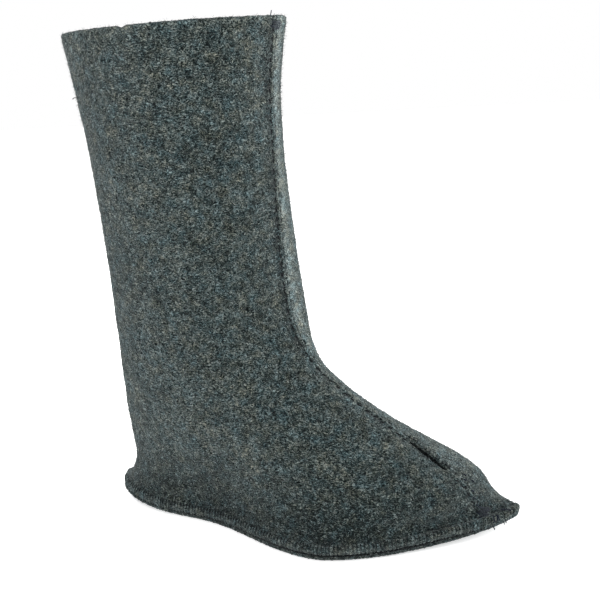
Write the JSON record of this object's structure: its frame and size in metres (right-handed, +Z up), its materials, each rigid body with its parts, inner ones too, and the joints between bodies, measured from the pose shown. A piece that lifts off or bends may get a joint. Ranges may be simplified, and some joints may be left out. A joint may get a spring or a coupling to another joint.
{
  "type": "felt boot",
  "caption": "Tall grey wool-felt boot with a front seam, a stitched flange round the foot and a flat felt sole.",
  "frame": {"origin": "on the ground, at the middle of the box round the standing boot, on the sole's flat underside", "axes": "+X to the toe, +Y to the boot's inner side, +Z up to the collar"},
  "size_m": [0.3178, 0.1206, 0.356],
  "materials": {
    "felt_upper": "matt heathered grey wool felt",
    "felt_sole": "matt dark grey pressed wool felt"
  },
  "bodies": {
    "root": {"upper": "felt_upper", "sole": "felt_sole"}
  },
  "joints": []
}
